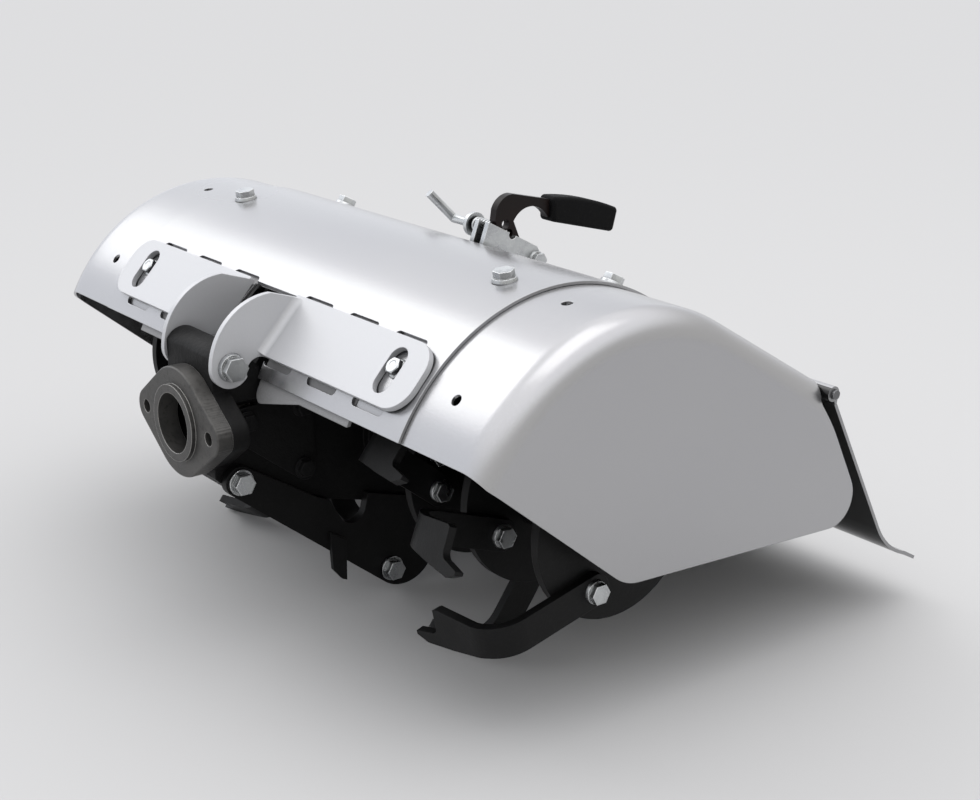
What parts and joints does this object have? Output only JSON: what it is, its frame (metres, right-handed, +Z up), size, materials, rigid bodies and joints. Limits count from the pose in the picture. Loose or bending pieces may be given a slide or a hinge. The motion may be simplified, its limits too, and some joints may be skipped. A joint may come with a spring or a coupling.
{
  "type": "rotavator for a two-wheel tractor",
  "caption": "Rear-mounted rotary tiller: a rolled steel hood with pressed end caps over a bladed rotor, gear neck with coupling flange, depth spur and hinged rear flap.",
  "frame": {"origin": "on the ground, under the middle of the bounding box", "axes": "+X to the machine's right, -Y forward towards the tractor, +Z up"},
  "size_m": [0.66, 0.5438, 0.344],
  "materials": {
    "silver_paint": "satin",
    "tine_steel": "satin",
    "dark_casting": "matte",
    "dark_paint": "satin",
    "bare_steel": "machined",
    "spur_steel": "satin",
    "black_grip": "matte",
    "zinc": "zinc plated"
  },
  "bodies": {
    "frame": {"bracket_backing_left": "silver_paint", "bracket_backing_right": "silver_paint", "bracket_bolts": "zinc", "bracket_left": "silver_paint", "bracket_right": "silver_paint", "centre_share": "dark_paint", "centre_tooth": "tine_steel", "cheek_bolt": "zinc", "flap_ears": "silver_paint", "flap_hinge_rod": "zinc", "gearbox_bolts": "zinc", "gearbox_cover": "dark_casting", "gearbox_housing": "dark_casting", "guide_bolt": "zinc", "hood": "silver_paint", "hood_bolts": "zinc", "hood_extension_left": "silver_paint", "hood_extension_right": "silver_paint", "hood_stay": "dark_paint", "lock_pin": "zinc", "pin_spring": "zinc", "pto_flange": "bare_steel", "share_bolts": "zinc", "spur_guide": "zinc"},
    "rotor": {"rotor_axle": "dark_paint", "rotor_disc_1": "dark_paint", "rotor_disc_2": "dark_paint", "rotor_disc_3": "dark_paint", "rotor_disc_4": "dark_paint", "rotor_disc_5": "dark_paint", "rotor_disc_6": "dark_paint", "tines_1": "tine_steel", "tines_2": "tine_steel", "tines_3": "tine_steel", "tines_4": "tine_steel", "tines_5": "tine_steel", "tines_6": "tine_steel", "tine_bolts": "zinc"},
    "coupler": {"drive_coupler": "bare_steel"},
    "spur": {"depth_spur": "spur_steel", "spur_grip": "black_grip", "spur_shoe": "spur_steel"},
    "flap": {"rear_flap": "silver_paint"}
  },
  "joints": [
    {"name": "rotor_spin", "type": "hinge", "parent": "frame", "child": "rotor", "pos_m": [0, -0.06087, 0.15003], "axis": [1, 0, 0], "continuous": true},
    {"name": "coupler_spin", "type": "hinge", "parent": "frame", "child": "coupler", "pos_m": [0, -0.20087, 0.19103], "axis": [0, 1, 0], "continuous": true},
    {"name": "spur_slide", "type": "slide", "parent": "frame", "child": "spur", "axis": [0, 0.3907, -0.9205], "range_m": [-0.105, 0.0175]},
    {"name": "flap_hinge", "type": "hinge", "parent": "frame", "child": "flap", "pos_m": [0, 0.14813, 0.21503], "axis": [1, 0, 0], "range_deg": [0, 70]}
  ],
  "couplings": [
    {"joint": "coupler_spin", "follows": "rotor_spin", "ratio": 3.5}
  ]
}
